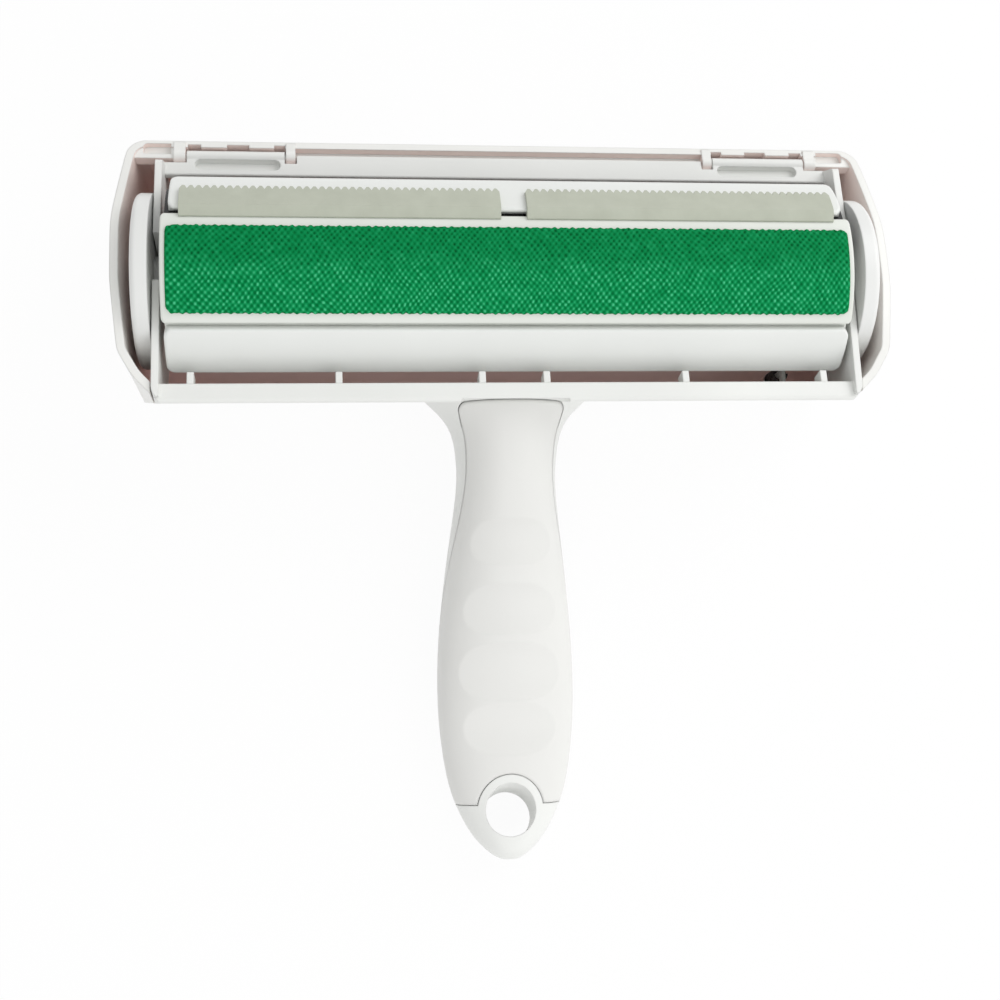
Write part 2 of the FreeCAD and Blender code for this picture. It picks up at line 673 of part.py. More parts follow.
def hinge_zone(side):
    """Where the upper plate is cut back for one hinge and one corner of the lid."""
    ends = (TAB_INNER - POST_GAP - POST_INNER_WIDTH - POST_GAP, FAR)
    return sorted((side * ends[0], side * ends[1]))


def cheek():
    """The right-hand cheek: a thin wall with a crowned front edge and a bearing notch open to the front."""
    low = [(PLATE_END, UPPER_FRONT - 1), (PLATE_END, UPPER_SKIRT), (13.0, -14.5), (-13.0, -14.5), (-29.5, -11.0)]
    corners = list(CHEEK_CREST) + low
    wall = along_x(corners, CHEEK_IN, CHEEK_OUT, list(CREST_ROUNDS) + [0, 0, 6.0, 6.0, 0])
    wall = wall.common(along_x(lower_limit(), 0, FAR))
    wall = wall.cut(rod_x(JOURNAL_RADIUS + BEARING_CLEAR, 0, FAR))
    return wall.cut(block(0, FAR, -SNAP_HALF_WIDTH, SNAP_HALF_WIDTH, 0, FAR))


def lower_limit():
    """Everything on the hinge side of the lower wall's outer face, in the head frame."""
    corners = side_corners()
    first = to_head(*corners[0])
    second = to_head(*corners[1])
    return [first, second, (second[0] + 2 * FAR, second[1]), (first[0] + 2 * FAR, first[1])]


def hinge_tab():
    """The right-hand hinge tab: a tongue of the upper plate that ends in a knuckle."""
    low = UPPER_FRONT - SLOT_DEPTH - SLOT_FLOOR
    plate = block(TAB_INNER, TAB_OUTER, UPPER_INNER + 0.5, HINGE_Y, low, UPPER_FRONT)
    tab = plate.fuse(rod_x(KNUCKLE_RADIUS, TAB_INNER, TAB_OUTER, HINGE_Y, HINGE_Z))
    for x0, x1 in ((TAB_INNER - 1, TAB_INNER + HINGE_PIN_LENGTH), (TAB_OUTER - HINGE_PIN_LENGTH, TAB_OUTER + 1)):
        tab = tab.cut(rod_x(HINGE_PIN_RADIUS + BEARING_CLEAR, x0, x1, HINGE_Y, HINGE_Z))
    return tab


def slot_cutter():
    """The slots of both tabs, to open the plate above their floors too."""
    half = (SLOT_HIGH - SLOT_LOW) / 2
    slot = [(SLOT_INNER, SLOT_LOW), (SLOT_OUTER, SLOT_LOW), (SLOT_OUTER, SLOT_HIGH), (SLOT_INNER, SLOT_HIGH)]
    right = along_z(slot, UPPER_FRONT - SLOT_DEPTH, UPPER_FRONT + 1, [half * 0.98] * 4)
    return right.fuse(mirror_x(right))


def fin(place):
    """A thin fin inside the lower wall, with its end standing into the opening."""
    y = LOWER_INNER + FIN_REACH
    corners = [(y, LOWER_FRONT - 0.3), (LOWER_OUTER + 3.6, LOWER_FRONT - 0.3), (LOWER_OUTER + 3.6, LOWER_FRONT - FIN_DEPTH),
               (y, LOWER_FRONT - FIN_DEPTH)]
    wall = along_x(corners, place - FIN_WALL / 2, place + FIN_WALL / 2)
    return wall.common(along_x(lower_limit(), 0, FAR))


def spring_arm():
    """A short arm on the lower wall that holds the top of the lid spring down, with a pin inside the coil."""
    wall_y = to_table(*lower_wall_corners(LID_SPRING_TOP)[3])[0]
    arm = block(LID_SPRING_X - ARM_WALL / 2, LID_SPRING_X + ARM_WALL / 2, wall_y - LOWER_WALL / 2,
                LID_SPRING_Y + LID_SPRING_RADIUS + SPRING_WIRE, LID_SPRING_TOP + SEAT_GAP, LID_SPRING_TOP + 2.6)
    arm = arm.fuse(rod_z(PIN_RADIUS, LID_SPRING_TOP - 3.0, LID_SPRING_TOP + 1.0, LID_SPRING_X, LID_SPRING_Y))
    arm.translate(Vec(0, 0, -AXIS_HEIGHT))
    arm.rotate(Vec(0, 0, 0), Vec(1, 0, 0), HEAD_LEAN)
    return arm


def handle_section(station, wall):
    """One rounded section across the handle, made smaller by a wall."""
    y, half_width, back, middle, front = station
    width = half_width - wall
    points = []
    for i in range(SECTION_POINTS):
        turn = 2 * math.pi * i / SECTION_POINTS
        across = abs(math.cos(turn)) ** (2 / SECTION_POWER) * math.copysign(1, math.cos(turn))
        up = abs(math.sin(turn)) ** (2 / SECTION_POWER)
        height = (front - middle - wall) * up if math.sin(turn) >= 0 else -(middle - back - wall) * up
        points.append(Vec(width * across, y, middle + height))
    curve = Part.BSplineCurve()
    curve.interpolate(points, PeriodicFlag=True)
    return Part.Wire(curve.toShape())


def handle_form(wall):
    """The solid form of the handle, made smaller by a wall."""
    stations = [s for s in HANDLE_STATIONS if s[1] - wall > 2.0 and s[4] - s[2] - 2 * wall > 2.0]
    return Part.makeLoft([handle_section(s, wall) for s in stations], True, False)


def behind_wall(distance):
    """Everything inside the head beyond the lower wall's outer face by a distance, in the table frame."""
    low, high = side_corners()[1], side_corners()[0]
    corners = [(low[0] + distance, low[1]), (FAR, low[1]), (FAR, high[1]), (high[0] + distance, high[1])]
    return along_x(corners, -FAR, FAR)


def hole_rod(radius):
    """A rod along the hanging hole, which is square to the front of the head."""
    lean_angle = math.radians(HEAD_LEAN)
    axis = Vec(0, math.sin(lean_angle), math.cos(lean_angle))
    start = Vec(0, HOLE_Y, HOLE_FRONT) - axis * 40
    return Part.makeCylinder(radius, 80, start, axis)


def handle_cavity():
    cavity = handle_form(HANDLE_WALL).common(block(-FAR, FAR, CAVITY_END, CAVITY_START, -FAR, FAR))
    return cavity.cut(hole_rod(HOLE_RADIUS + HOLE_WALL))


def parting_prism(gap):
    """Everything in front of the parting line of the handle, lowered by a gap."""
    points = [Vec(-FAR, y, z - gap) for y, z in PARTING_LINE]
    curve = Part.BSplineCurve()
    curve.interpolate(points)
    first, last = points[0], points[-1]
    top = 100.0
    edges = [
        curve.toShape(),
        Part.makeLine(last, Vec(-FAR, last.y, top)),
        Part.makeLine(Vec(-FAR, last.y, top), Vec(-FAR, first.y, top)),
        Part.makeLine(Vec(-FAR, first.y, top), first),
    ]
    return Part.Face(Part.Wire(edges)).extrude(Vec(2 * FAR, 0, 0))


def cover_zone(gap):
    """The space that the handle's front cover takes, made larger by a gap: above the parting line, below the
    head and round the hanging hole."""
    half = COVER_TOP_HALF_WIDTH + gap
    wide = 40.0
    neck_end = COVER_TOP - 6.0
    corners = [
        (-half, COVER_TOP + gap),
        (-half + 1.6, neck_end),
        (-wide, neck_end - 3.0),
        (-wide, COVER_FOOT - gap),
        (wide, COVER_FOOT - gap),
        (wide, neck_end - 3.0),
        (half - 1.6, neck_end),
        (half, COVER_TOP + gap),
    ]
    plan = along_z(corners, -FAR, FAR, [COVER_TOP_ROUND, 0, 0, 0, 0, 0, 0, COVER_TOP_ROUND])
    arch = hole_rod(COVER_ARCH_RADIUS - gap)
    return parting_prism(gap).common(plan).cut(arch)


def handle_at(place):
    """Half width, back, widest line, front and slope of the front at a place between two sections."""
    before = max((s for s in HANDLE_STATIONS if s[0] <= place), key=lambda s: s[0])
    after = min((s for s in HANDLE_STATIONS if s[0] > place), key=lambda s: s[0])
    share = (place - before[0]) / (after[0] - before[0])
    values = [before[i] + (after[i] - before[i]) * share for i in range(1, 5)]
    return values + [(after[4] - before[4]) / (after[0] - before[0])]


def dimple_cutter(place, half_length, half_width, depth):
    """A ring about the handle whose inner side scoops one finger dimple out of the front."""
    width, back, middle, front, slope = handle_at(place)
    level = (1 - (half_width / width) ** SECTION_POWER) ** (1 / SECTION_POWER)
    fall = (front - middle) * (1 - level)
    bend = half_width ** 2 / (2 * (fall - depth))
    radius = (half_length ** 2 + depth ** 2) / (2 * depth)
    ring = Part.makeTorus(bend + radius, radius, Vec(0, 0, 0), Vec(0, 1, 0))
    ring.translate(Vec(0, 0, -bend - depth))
    ring.rotate(Vec(0, 0, 0), Vec(1, 0, 0), math.degrees(math.atan(slope)))
    ring.translate(Vec(0, place, front))
    return ring


def handle_cover():
    """The front cover of the handle, with finger dimples, pegs and the seat of the button spring."""
    shell = handle_form(0.0).common(cover_zone(0.0)).cut(handle_cavity())
    shell = shell.cut(behind_wall(COVER_BITE))
    for dimple in DIMPLES:
        shell = shell.cut(dimple_cutter(*dimple))
    inner = handle_form(HANDLE_WALL / 2)
    seat = rod_z(BUTTON_SPRING_RADIUS + 1.2, spring_top() + SEAT_GAP, 60, 0, BUTTON_Y).common(inner)
    pieces = [seat]
    for y in COVER_POST_PLACES:
        peg = rod_z(COVER_POST_BORE - SPIGOT_CLEAR, post_top(y) - 4.0, 60, 0, y)
        collar = rod_z(COVER_POST_RADIUS, post_top(y) + SEAT_GAP, 60, 0, y)
        pieces.append(peg.fuse(collar).common(inner))
    for piece in pieces:
        shell = shell.fuse(piece)
    return shell


def post_top(y):
    """Height of the joint between a post and the cover's collar."""
    after = min((s for s in HANDLE_STATIONS if s[0] >= y), key=lambda s: s[0])
    return after[3] + 1.0


def spring_top():
    return PAD_TOP + SEAT_GAP + BUTTON_FLANGE_THICK + BUTTON_SPRING_LENGTH + 2 * SEAT_GAP


def button_outline(grow, z0, z1):
    half_x = BUTTON_WIDTH / 2 + grow
    half_y = BUTTON_LENGTH / 2 + grow
    corners = [(-half_x, BUTTON_Y - half_y), (half_x, BUTTON_Y - half_y), (half_x, BUTTON_Y + half_y), (-half_x, BUTTON_Y + half_y)]
    return along_z(corners, z0, z1, [BUTTON_CORNER + grow] * 4)


def main_body():
    """The frame of the head and the back of the handle, one moulding."""
    frame = lean(frame_shell().cut(slot_cutter()))
    frame = frame.cut(cover_zone(COVER_GAP).cut(behind_wall(COVER_BITE + COVER_GAP)))
    form = handle_form(0.0).cut(behind_wall(LOWER_WALL / 2))
    handle = form.cut(handle_cavity()).cut(cover_zone(COVER_GAP)).cut(hole_rod(HOLE_RADIUS))
    pad = button_outline(BUTTON_FLANGE + 1.5, 0, PAD_TOP).common(handle_form(0.4))
    body = frame.fuse(handle).fuse(pad)
    for y in COVER_POST_PLACES:
        post = rod_z(COVER_POST_RADIUS, 0, post_top(y), 0, y).common(handle_form(HANDLE_WALL / 2))
        body = body.fuse(post.cut(rod_z(COVER_POST_BORE, post_top(y) - 6.0, 60, 0, y)))
    body = body.cut(button_outline(BUTTON_CLEAR, -FAR, PAD_TOP + 1))
    flange_top = PAD_TOP + BUTTON_FLANGE_THICK + BUTTON_TRAVEL + NOSE_CLEAR
    body = body.cut(button_outline(BUTTON_FLANGE + NOSE_CLEAR, PAD_TOP, flange_top))
    body = body.cut(latch_notch()).cut(nose_channel())
    return body


def release_button():
    """The button on the back of the handle's root, with its inner flange and a nose towards the latch."""
    back = min(s[2] for s in HANDLE_STATIONS if abs(s[0] - BUTTON_Y) < BUTTON_LENGTH) - BUTTON_PROUD
    button = button_outline(0.0, back, PAD_TOP + 0.5)
    rim = [e for e in button.Edges if e.BoundBox.ZMax < back + 1e-3]
    button = button.makeFillet(EDGE_ROUND, rim)
    flange_low = PAD_TOP + SEAT_GAP
    button = button.fuse(button_outline(BUTTON_FLANGE, flange_low, flange_low + BUTTON_FLANGE_THICK))
    pocket = button_outline(-1.8, back + 2.0, flange_low)
    button = button.cut(pocket)
    nose_end = latch_face(flange_low + BUTTON_FLANGE_THICK + BUTTON_TRAVEL) - LOWER_WALL - NOSE_CLEAR
    nose = block(-NOSE_HALF_WIDTH, NOSE_HALF_WIDTH, BUTTON_Y, nose_end, flange_low, flange_low + BUTTON_FLANGE_THICK)
    spring_pin = rod_z(BUTTON_SPRING_RADIUS - 1.2, flange_low, flange_low + BUTTON_FLANGE_THICK + 3.0, 0, BUTTON_Y)
    return merged(button.fuse([nose, spring_pin]))


def latch_face(z):
    """Y of the inner face of the lower wall at a table height."""
    return to_table(*lower_wall_corners(z)[3])[0]


def latch_corners(low, high, gap, thick):
    """A slab that follows the inner face of the lower wall from one height to another."""
    return [
        (latch_face(low) + gap, low),
        (latch_face(low) + gap + thick, low),
        (latch_face(high) + gap + thick, high),
        (latch_face(high) + gap, high),
    ]


def latch_low():
    """Height of the lower end of the latch's barb."""
    return LID_PARTING + WINDOW_CLEAR


def latch_notch():
    """The notch in the lower wall, open towards the bin, that takes the barb of the lid's latch."""
    half = LATCH_HALF_WIDTH + WINDOW_CLEAR
    high = latch_low() + LATCH_BARB_HEIGHT + WINDOW_CLEAR
    return along_x(latch_corners(LID_PARTING - 1.0, high, -LATCH_BARB - LID_GAP, LOWER_WALL + 4.0), -half, half)


def nose_channel():
    """The channel through the handle's root for the nose of the release button, with its travel."""
    low = PAD_TOP + SEAT_GAP - NOSE_CLEAR
    high = PAD_TOP + SEAT_GAP + BUTTON_FLANGE_THICK + BUTTON_TRAVEL + NOSE_CLEAR
    half = NOSE_HALF_WIDTH + NOSE_CLEAR
    return block(-half, half, BUTTON_Y, latch_face(low) + 1.0, low, high)


def latch_tongue():
    """The lid's latch: a tongue inside the lower wall with a barb in its window."""
    top = LID_PARTING + LATCH_REACH
    tongue = along_x(latch_corners(LID_PARTING - 5.0, top, LID_GAP, LATCH_WALL), -LATCH_HALF_WIDTH, LATCH_HALF_WIDTH)
    root = latch_corners(LID_PARTING - 6.0, LID_PARTING - 1.0, -LID_WALL / 2, LATCH_WALL + LID_WALL / 2)
    tongue = tongue.fuse(along_x(root, -LATCH_HALF_WIDTH, LATCH_HALF_WIDTH))
    low = latch_low()
    high = low + LATCH_BARB_HEIGHT
    barb = [
        (latch_face(low) + LID_GAP + 0.5, low),
        (latch_face(high) + LID_GAP + 0.5, high),
        (latch_face(low) + LID_GAP - LATCH_BARB, low),
    ]
    return tongue.fuse(along_x(barb, -LATCH_HALF_WIDTH, LATCH_HALF_WIDTH))


def rear_lid():
    """The dust bin: a deep tray hinged along the top of the head, with end walls outside the drum's discs."""
    tray = lid_form(0.0).cut(lid_form(LID_WALL)).common(crown())
    rim_cut = lean(block(-CHEEK_OUT - LID_GAP, CHEEK_OUT + LID_GAP, 0, FAR, LID_RIM_TOP, FAR))
    tray = tray.cut(rim_cut)
    wall_cut = block(-CHEEK_OUT - LID_GAP, CHEEK_OUT + LID_GAP, -FAR, -8.0, LID_PARTING - LID_GAP, FAR)
    tray = tray.cut(wall_cut)
    root_cut = handle_form(-LID_GAP).common(block(-FAR, FAR, -40, 0, LID_PARTING - 3, FAR))
    tray = tray.cut(root_cut)
    pieces = [latch_tongue(), spring_seat(), lean(rim_step())]
    for side in (-1, 1):
        pieces.append(lean(mirror_if(side, hinge_posts())))
        pieces.append(lean(mirror_if(side, gusset())).common(lid_form(LID_WALL / 2)))
    tray = tray.fuse(pieces)
    for side in (-1, 1):
        tray = tray.cut(lean(mirror_if(side, dash_slots().fuse(corner_pocket()))))
    return merged(tray)


def rim_step():
    """A narrow step inside the lid's rim between the hinges, close to the plate's far face."""
    half = TAB_INNER - POST_GAP - POST_INNER_WIDTH / 2
    return block(-half, half, STEP_INNER, LID_TOP - LID_WALL / 2, STEP_LOW, STEP_HIGH)


def gusset():
    """The block that fills the lid's right-hand corner beside the hinge, just below the rim."""
    return block(POCKET_INNER - 1.0, FAR, GUSSET_LOW, FAR, GUSSET_TOP - GUSSET_THICK, GUSSET_TOP)


def corner_pocket():
    """The shallow pocket in the rim above that block."""
    corners = [(POCKET_INNER, POCKET_LOW), (POCKET_OUTER, POCKET_LOW), (POCKET_OUTER, POCKET_HIGH), (POCKET_INNER, POCKET_HIGH)]
    return along_z(corners, GUSSET_TOP - POCKET_DEPTH, LID_RIM_TOP + 1, [0, 0.6, 1.2, 0])


def hinge_posts():
    """The right-hand pair of posts on the lid's rim, with stub pins that face each other."""
    spans = (
        (TAB_INNER - POST_GAP - POST_INNER_WIDTH, TAB_INNER - POST_GAP),
        (TAB_OUTER + POST_GAP, TAB_OUTER + POST_GAP + POST_OUTER_WIDTH),
    )
    pieces = []
    for x0, x1 in spans:
        pieces.append(rod_x(POST_RADIUS, x0, x1, HINGE_Y, HINGE_Z))
        pieces.append(block(x0, x1, HINGE_Y, LID_TOP - 0.6, HINGE_Z - POST_RADIUS, LID_RIM_TOP))
    pin_length = HINGE_PIN_LENGTH - POST_GAP
    pieces.append(rod_x(HINGE_PIN_RADIUS, spans[0][1] - 0.5, spans[0][1] + POST_GAP + pin_length - 0.2, HINGE_Y, HINGE_Z))
    pieces.append(rod_x(HINGE_PIN_RADIUS, spans[1][0] - POST_GAP - pin_length + 0.2, spans[1][0] + 0.5, HINGE_Y, HINGE_Z))
    return pieces[0].fuse(pieces[1:])


def dash_slots():
    """Three short slots in the lid's rim beside the right-hand hinge tab."""
    inner = LID_TOP - LID_WALL
    cuts = [block(x0, x1, inner - 0.5, inner + DASH_WIDTH, LID_RIM_TOP - DASH_DEPTH, LID_RIM_TOP + 1) for x0, x1 in DASHES]
    return cuts[0].fuse(cuts[1:])


def spring_seat():
    """A round seat on the floor of the bin for the lid spring."""
    seat = rod_z(SEAT_RADIUS, 0.0, LID_SPRING_SEAT, LID_SPRING_X, LID_SPRING_Y)
    return seat.common(lid_form(LID_WALL / 2))


def coil(radius, wire, turns, z0, z1, x, y):
    """A closed-end coil spring standing along Z."""
    height = z1 - z0 - 2 * wire
    helix = Part.makeHelix(height / turns, height, radius)
    profile = Part.Wire(Part.makeCircle(wire, Vec(radius, 0, 0), Vec(0, 1, 0)))
    spring = Part.Wire(helix.Edges).makePipeShell([profile], True, True)
    spring.translate(Vec(x, y, z0 + wire))
    return spring


def button_spring():
    low = PAD_TOP + 2 * SEAT_GAP + BUTTON_FLANGE_THICK
    return coil(BUTTON_SPRING_RADIUS, SPRING_WIRE, BUTTON_SPRING_TURNS, low, low + BUTTON_SPRING_LENGTH, 0, BUTTON_Y)


def lid_spring():
    low = LID_SPRING_SEAT + SEAT_GAP
    return coil(LID_SPRING_RADIUS, SPRING_WIRE, LID_SPRING_TURNS, low, LID_SPRING_TOP, LID_SPRING_X, LID_SPRING_Y)


def nodes():
    """Every piece by name."""
    return {
        "main_body": main_body,
        "handle_cover": handle_cover,
        "rear_lid": rear_lid,
        "release_button": release_button,
        "button_spring": button_spring,
        "lid_spring": lid_spring,
        "drum_core": drum_core,
        "fabric_panel": fabric_panel,
        "fabric_strip": pile_strip,
        "upper_bar": lambda: bar("upper"),
        "lower_bar": lambda: bar("lower"),
        "comb_right": lambda: rock(comb()),
        "comb_left": lambda: rock(mirror_x(comb())),
        "end_disc_right": lambda: end_disc(1),
        "end_disc_left": lambda: end_disc(-1),
        "disc_screw_right": lambda: disc_screw(1),
        "disc_screw_left": lambda: disc_screw(-1),
    }


def main():
    os.makedirs("parts", exist_ok=True)
    for name, make in nodes().items():
        shape = make()
        print(f"{name:16s} solids {len(shape.Solids)} valid {shape.isValid()} volume {shape.Volume:9.1f}")
        shape.exportStep(f"parts/{name}.step")


main()
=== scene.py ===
"""Looks of the pet hair brush: moulded plastic, rubber combs, a woven green pile and dark steel."""

import math

import bpy
import numpy as np
from mathutils import Matrix, Vector


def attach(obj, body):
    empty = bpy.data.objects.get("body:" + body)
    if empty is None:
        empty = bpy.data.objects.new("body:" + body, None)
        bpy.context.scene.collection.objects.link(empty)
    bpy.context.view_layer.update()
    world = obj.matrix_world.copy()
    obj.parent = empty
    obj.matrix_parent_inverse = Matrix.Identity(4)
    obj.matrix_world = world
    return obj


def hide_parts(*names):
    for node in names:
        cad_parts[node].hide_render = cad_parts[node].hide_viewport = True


# The drum, metres and degrees
DRUM_AXIS_HEIGHT = 0.034
DRUM_TURN = 5.0
SURFACE_DROP = 0.0054         # the surface's arc has its centre this far below the axis

# The pile strip on the drum, before the turn
PILE_BASE = 0.0285
PILE_TOP = 0.0295
PILE_LIFT = 0.00005           # the strip's foot stands this far off the panel
PILE_HALF_ANGLE = 22.2
PILE_MIDDLE_ANGLE = -1.2
PILE_HALF_LENGTH = 0.0858
PILE_CORNER = 0.0019
PILE_ROLL = 0.0009            # width of the rounded edge
PILE_COLUMNS = 760
PILE_ROWS = 104

# Ragged edge of the pile, each wave as a size, a length and a phase
FRAY_WAVES = ((0.00012, 0.00037, 0.0), (0.00010, 0.00023, 1.7))

# Where the weave goes over from pits to tufts
CHANGE_PLACE = 0.0010
CHANGE_WIDTH = 0.0013
CHANGE_SWAY = 0.0008
CHANGE_SWAY_LENGTH = 0.0031

# Tufts of the weave
TUFT_ACROSS = 0.00154
TUFT_ALONG = 0.00096
TUFT_HEIGHT = 0.00050
TUFT_SEED = 4
PIT_SEED = 7

# How far the rows wander, in tufts, with the lengths of the ripples along the strip and across it
BROAD_RIPPLE = 0.22
FINE_RIPPLE = 0.12
BROAD_ACROSS = (0.0061, 0.0043)
FINE_ACROSS = (0.0023, 0.0017)
BROAD_ALONG = (0.0047, 0.0029)
FINE_ALONG = (0.0019, 0.0013)

# Slow waves of the rows, each as a size in tufts, a length and a phase
SLOW_ACROSS = (0.60, 0.019, 0.8)
SLOW_ALONG = (0.70, 0.023, 2.0)

# Painted warm bounce light in the shaded inside of the bin: its middle, and the facings and heights
# between which it grows
BIN_MIDDLE = (0.0, 0.004, 0.036)
SHADE_TINT_FACINGS = (-0.02, -0.30)
SHADE_TINT_HEIGHTS = (0.046, 0.016)

# The drum's core turns to painted black, standing in for the shade deep in the slots, between these
# places along Y
CORE_SHADE_CHANGE = (0.004, 0.007)

# The material of each piece
MATERIAL_OF = {
    "main_body": "body",
    "handle_cover": "cover",
    "rear_lid": "bin",
    "release_button": "button",
    "button_spring": "spring",
    "lid_spring": "spring",
    "drum_core": "core",
    "fabric_panel": "panel",
    "upper_bar": "bar",
    "lower_bar": "bar",
    "comb_right": "comb",
    "comb_left": "comb",
    "end_disc_right": "disc",
    "end_disc_left": "disc",
    "disc_screw_right": "screw",
    "disc_screw_left": "screw",
    "fabric_strip": "pile",
}

# Scales of the noise in the surfaces, per metre
TONE_SCALE = 30.0
FLOW_SCALE = 40.0
SCUFF_SCALE = 260.0
GRAIN_SCALE = 5200.0
FIBRE_SCALE = 5200.0
MOTTLE_SCALE = 160.0
RUBBER_GRAIN_SCALE = 3600.0
PATCH_SCALE = 420.0
FILM_SCALE = 900.0
WORN_SCALE = 2500.0
STREAK_SCALE = 7000.0

# Heights of the relief in the surfaces
FLOW_HEIGHT = 0.0004
GRAIN_HEIGHT = 0.00003
RUBBER_GRAIN_HEIGHT = 0.00004
FIBRE_HEIGHT = 0.00010

# Radius that softens the combs' edges
COMB_EDGE = 0.0002

# Camera, fitted to the photograph
CAMERA_PLACE = Vector((-0.0473, -0.1023, 0.4102))
CAMERA_RIGHT = Vector((0.9931, -0.0267, 0.1138))
CAMERA_UP = Vector((0.0130, 0.9927, 0.1199))
CAMERA_BACK = Vector((-0.1162, -0.1176, 0.9862))
CAMERA_LENS = 53.03
SENSOR_WIDTH = 36.0
CLIP_START = 0.01

# Floor, surround and lamps, each lamp as a place, a side and a power
FLOOR_HALF_SIDE = 3.0
FLOOR_DROP = 0.0004
FLOOR_WHITE_SHARE = 0.94
SURROUND_STRENGTH = 0.66
LAMP_TARGET = (0.0, -0.02, 0.03)
LAMPS = {
    "key": ((0.60, 0.46, 0.60), 0.7, 3.8),
    "fill": ((0.20, -0.66, 0.56), 0.9, 2.5),
}


def linear(*rgb):
    """A colour written as 0-255 screen values, in linear light."""
    out = []
    for value in rgb:
        v = value / 255
        out.append(v / 12.92 if v <= 0.04045 else ((v + 0.055) / 1.055) ** 2.4)
    return (*out, 1.0)


def combined(tree, operation, first, second):
    """An output and another output or a number, put together by arithmetic."""
    node = tree.nodes.new("ShaderNodeMath")
    node.operation = operation
    for socket, value in zip(node.inputs, (first, second)):
        if isinstance(value, float):
            socket.default_value = value
        else:
            tree.links.new(value, socket)
    return node.outputs["Value"]


class Material:
    """A node material and short calls that add nodes to it."""

    def __init__(self, name, roughness, metallic=0.0):
        self.made = bpy.data.materials.new(name)
        self.made.use_nodes = True
        self.tree = self.made.node_tree
        self.shader = self.tree.nodes["Principled BSDF"]
        self.shader.inputs["Roughness"].default_value = roughness
        self.shader.inputs["Metallic"].default_value = metallic
        self.place = self.add("ShaderNodeTexCoord").outputs["Object"]

    def add(self, kind, **settings):
        node = self.tree.nodes.new(kind)
        for name, value in settings.items():
            setattr(node, name, value)
        return node

    def link(self, source, target):
        self.tree.links.new(source, target)

    def noise(self, scale, detail=3.0, roughness=0.5, stretch=None):
        node = self.add("ShaderNodeTexNoise")
        node.inputs["Scale"].default_value = scale
        node.inputs["Detail"].default_value = detail
        node.inputs["Roughness"].default_value = roughness
        source = self.place
        if stretch:
            mapping = self.add("ShaderNodeMapping")
            mapping.inputs["Scale"].default_value = stretch
            self.link(source, mapping.inputs["Vector"])
            source = mapping.outputs["Vector"]
        self.link(source, node.inputs["Vector"])
        return node.outputs["Fac"]

    def ramp(self, source, stops):
        node = self.add("ShaderNodeValToRGB")
        elements = node.color_ramp.elements
        while len(elements) < len(stops):
            elements.new(0.5)
        for element, (place, colour) in zip(elements, stops):
            element.position = place
            element.color = colour
        self.link(source, node.inputs["Fac"])
        return node.outputs["Color"]

    def span(self, source, low, high, new_low, new_high):
        node = self.add("ShaderNodeMapRange")
        node.inputs["From Min"].default_value = low
        node.inputs["From Max"].default_value = high
        node.inputs["To Min"].default_value = new_low
        node.inputs["To Max"].default_value = new_high
        self.link(source, node.inputs["Value"])
        return node.outputs["Result"]

    def mix(self, factor, first, second):
        node = self.add("ShaderNodeMix", data_type="RGBA")
        self.link(factor, node.inputs["Factor"])
        for socket, value in ((node.inputs["A"], first), (node.inputs["B"], second)):
            if isinstance(value, tuple):
                socket.default_value = value
            else:
                self.link(value, socket)
        return node.outputs["Result"]

    def colour(self, source):
        self.link(source, self.shader.inputs["Base Color"])

    def rough(self, source):
        self.link(source, self.shader.inputs["Roughness"])

    def bump(self, source, strength, distance, normal=None):
        node = self.add("ShaderNodeBump")
        node.inputs["Strength"].default_value = strength
        node.inputs["Distance"].default_value = distance
        self.link(source, node.inputs["Height"])
        if normal is not None:
            self.link(normal, node.inputs["Normal"])
        return node.outputs["Normal"]

    def normal(self, source):
        self.link(source, self.shader.inputs["Normal"])

    def soft_edges(self, radius):
        node = self.add("ShaderNodeBevel", samples=6)
        node.inputs["Radius"].default_value = radius
        return node.outputs["Normal"]


def plastic(name, light, dark, roughness, edge):
    """Satin moulded plastic: faint tone changes, flow marks, a fine grain and softened edges."""
    m = Material(name, roughness)
    broad = m.noise(TONE_SCALE, 2.0, 0.45)
    m.colour(m.ramp(broad, ((0.30, dark), (0.68, light))))
    scuffs = m.noise(SCUFF_SCALE, 5.0, 0.7, (1.0, 0.35, 1.0))
    m.rough(m.span(scuffs, 0.35, 0.7, roughness - 0.04, roughness + 0.06))
    flow = m.bump(m.noise(FLOW_SCALE, 1.0, 0.3), 0.06, FLOW_HEIGHT, m.soft_edges(edge))
    m.normal(m.bump(m.noise(GRAIN_SCALE, 2.0, 0.5), 0.16, GRAIN_HEIGHT, flow))
    return m


def bin_plastic():
    """The bin's plastic: as the rest outside, with painted warm bounce light on the shaded walls that
    face the drum.
    """
    m = plastic("bin_plastic", linear(240, 240, 237), linear(234, 234, 230), 0.34, 0.0006)
    outward = m.add("ShaderNodeVectorMath", operation="SUBTRACT")
    m.link(m.place, outward.inputs[0])
    outward.inputs[1].default_value = BIN_MIDDLE
    direction = m.add("ShaderNodeVectorMath", operation="NORMALIZE")
    m.link(outward.outputs["Vector"], direction.inputs[0])
    facing = m.add("ShaderNodeVectorMath", operation="DOT_PRODUCT")
    m.link(direction.outputs["Vector"], facing.inputs[0])
    m.link(m.place.node.outputs["Normal"], facing.inputs[1])
    inner = m.span(facing.outputs["Value"], *SHADE_TINT_FACINGS, 0.0, 1.0)
    height = m.add("ShaderNodeSeparateXYZ")
    m.link(m.place, height.inputs[0])
    deep = m.span(height.outputs["Z"], *SHADE_TINT_HEIGHTS, 0.0, 1.0)
    outside = m.shader.inputs["Base Color"].links[0].from_socket
    # painted warm bounce light, strongest on the deep inner walls that face the drum
    painted_warm_bounce = m.ramp(combined(m.tree, "MULTIPLY", inner, deep), (
        (0.0, linear(244, 240, 236)),
        (0.45, linear(246, 228, 222)),
        (1.0, linear(250, 216, 209)),
    ))
    m.colour(m.mix(inner, outside, painted_warm_bounce))
    return m


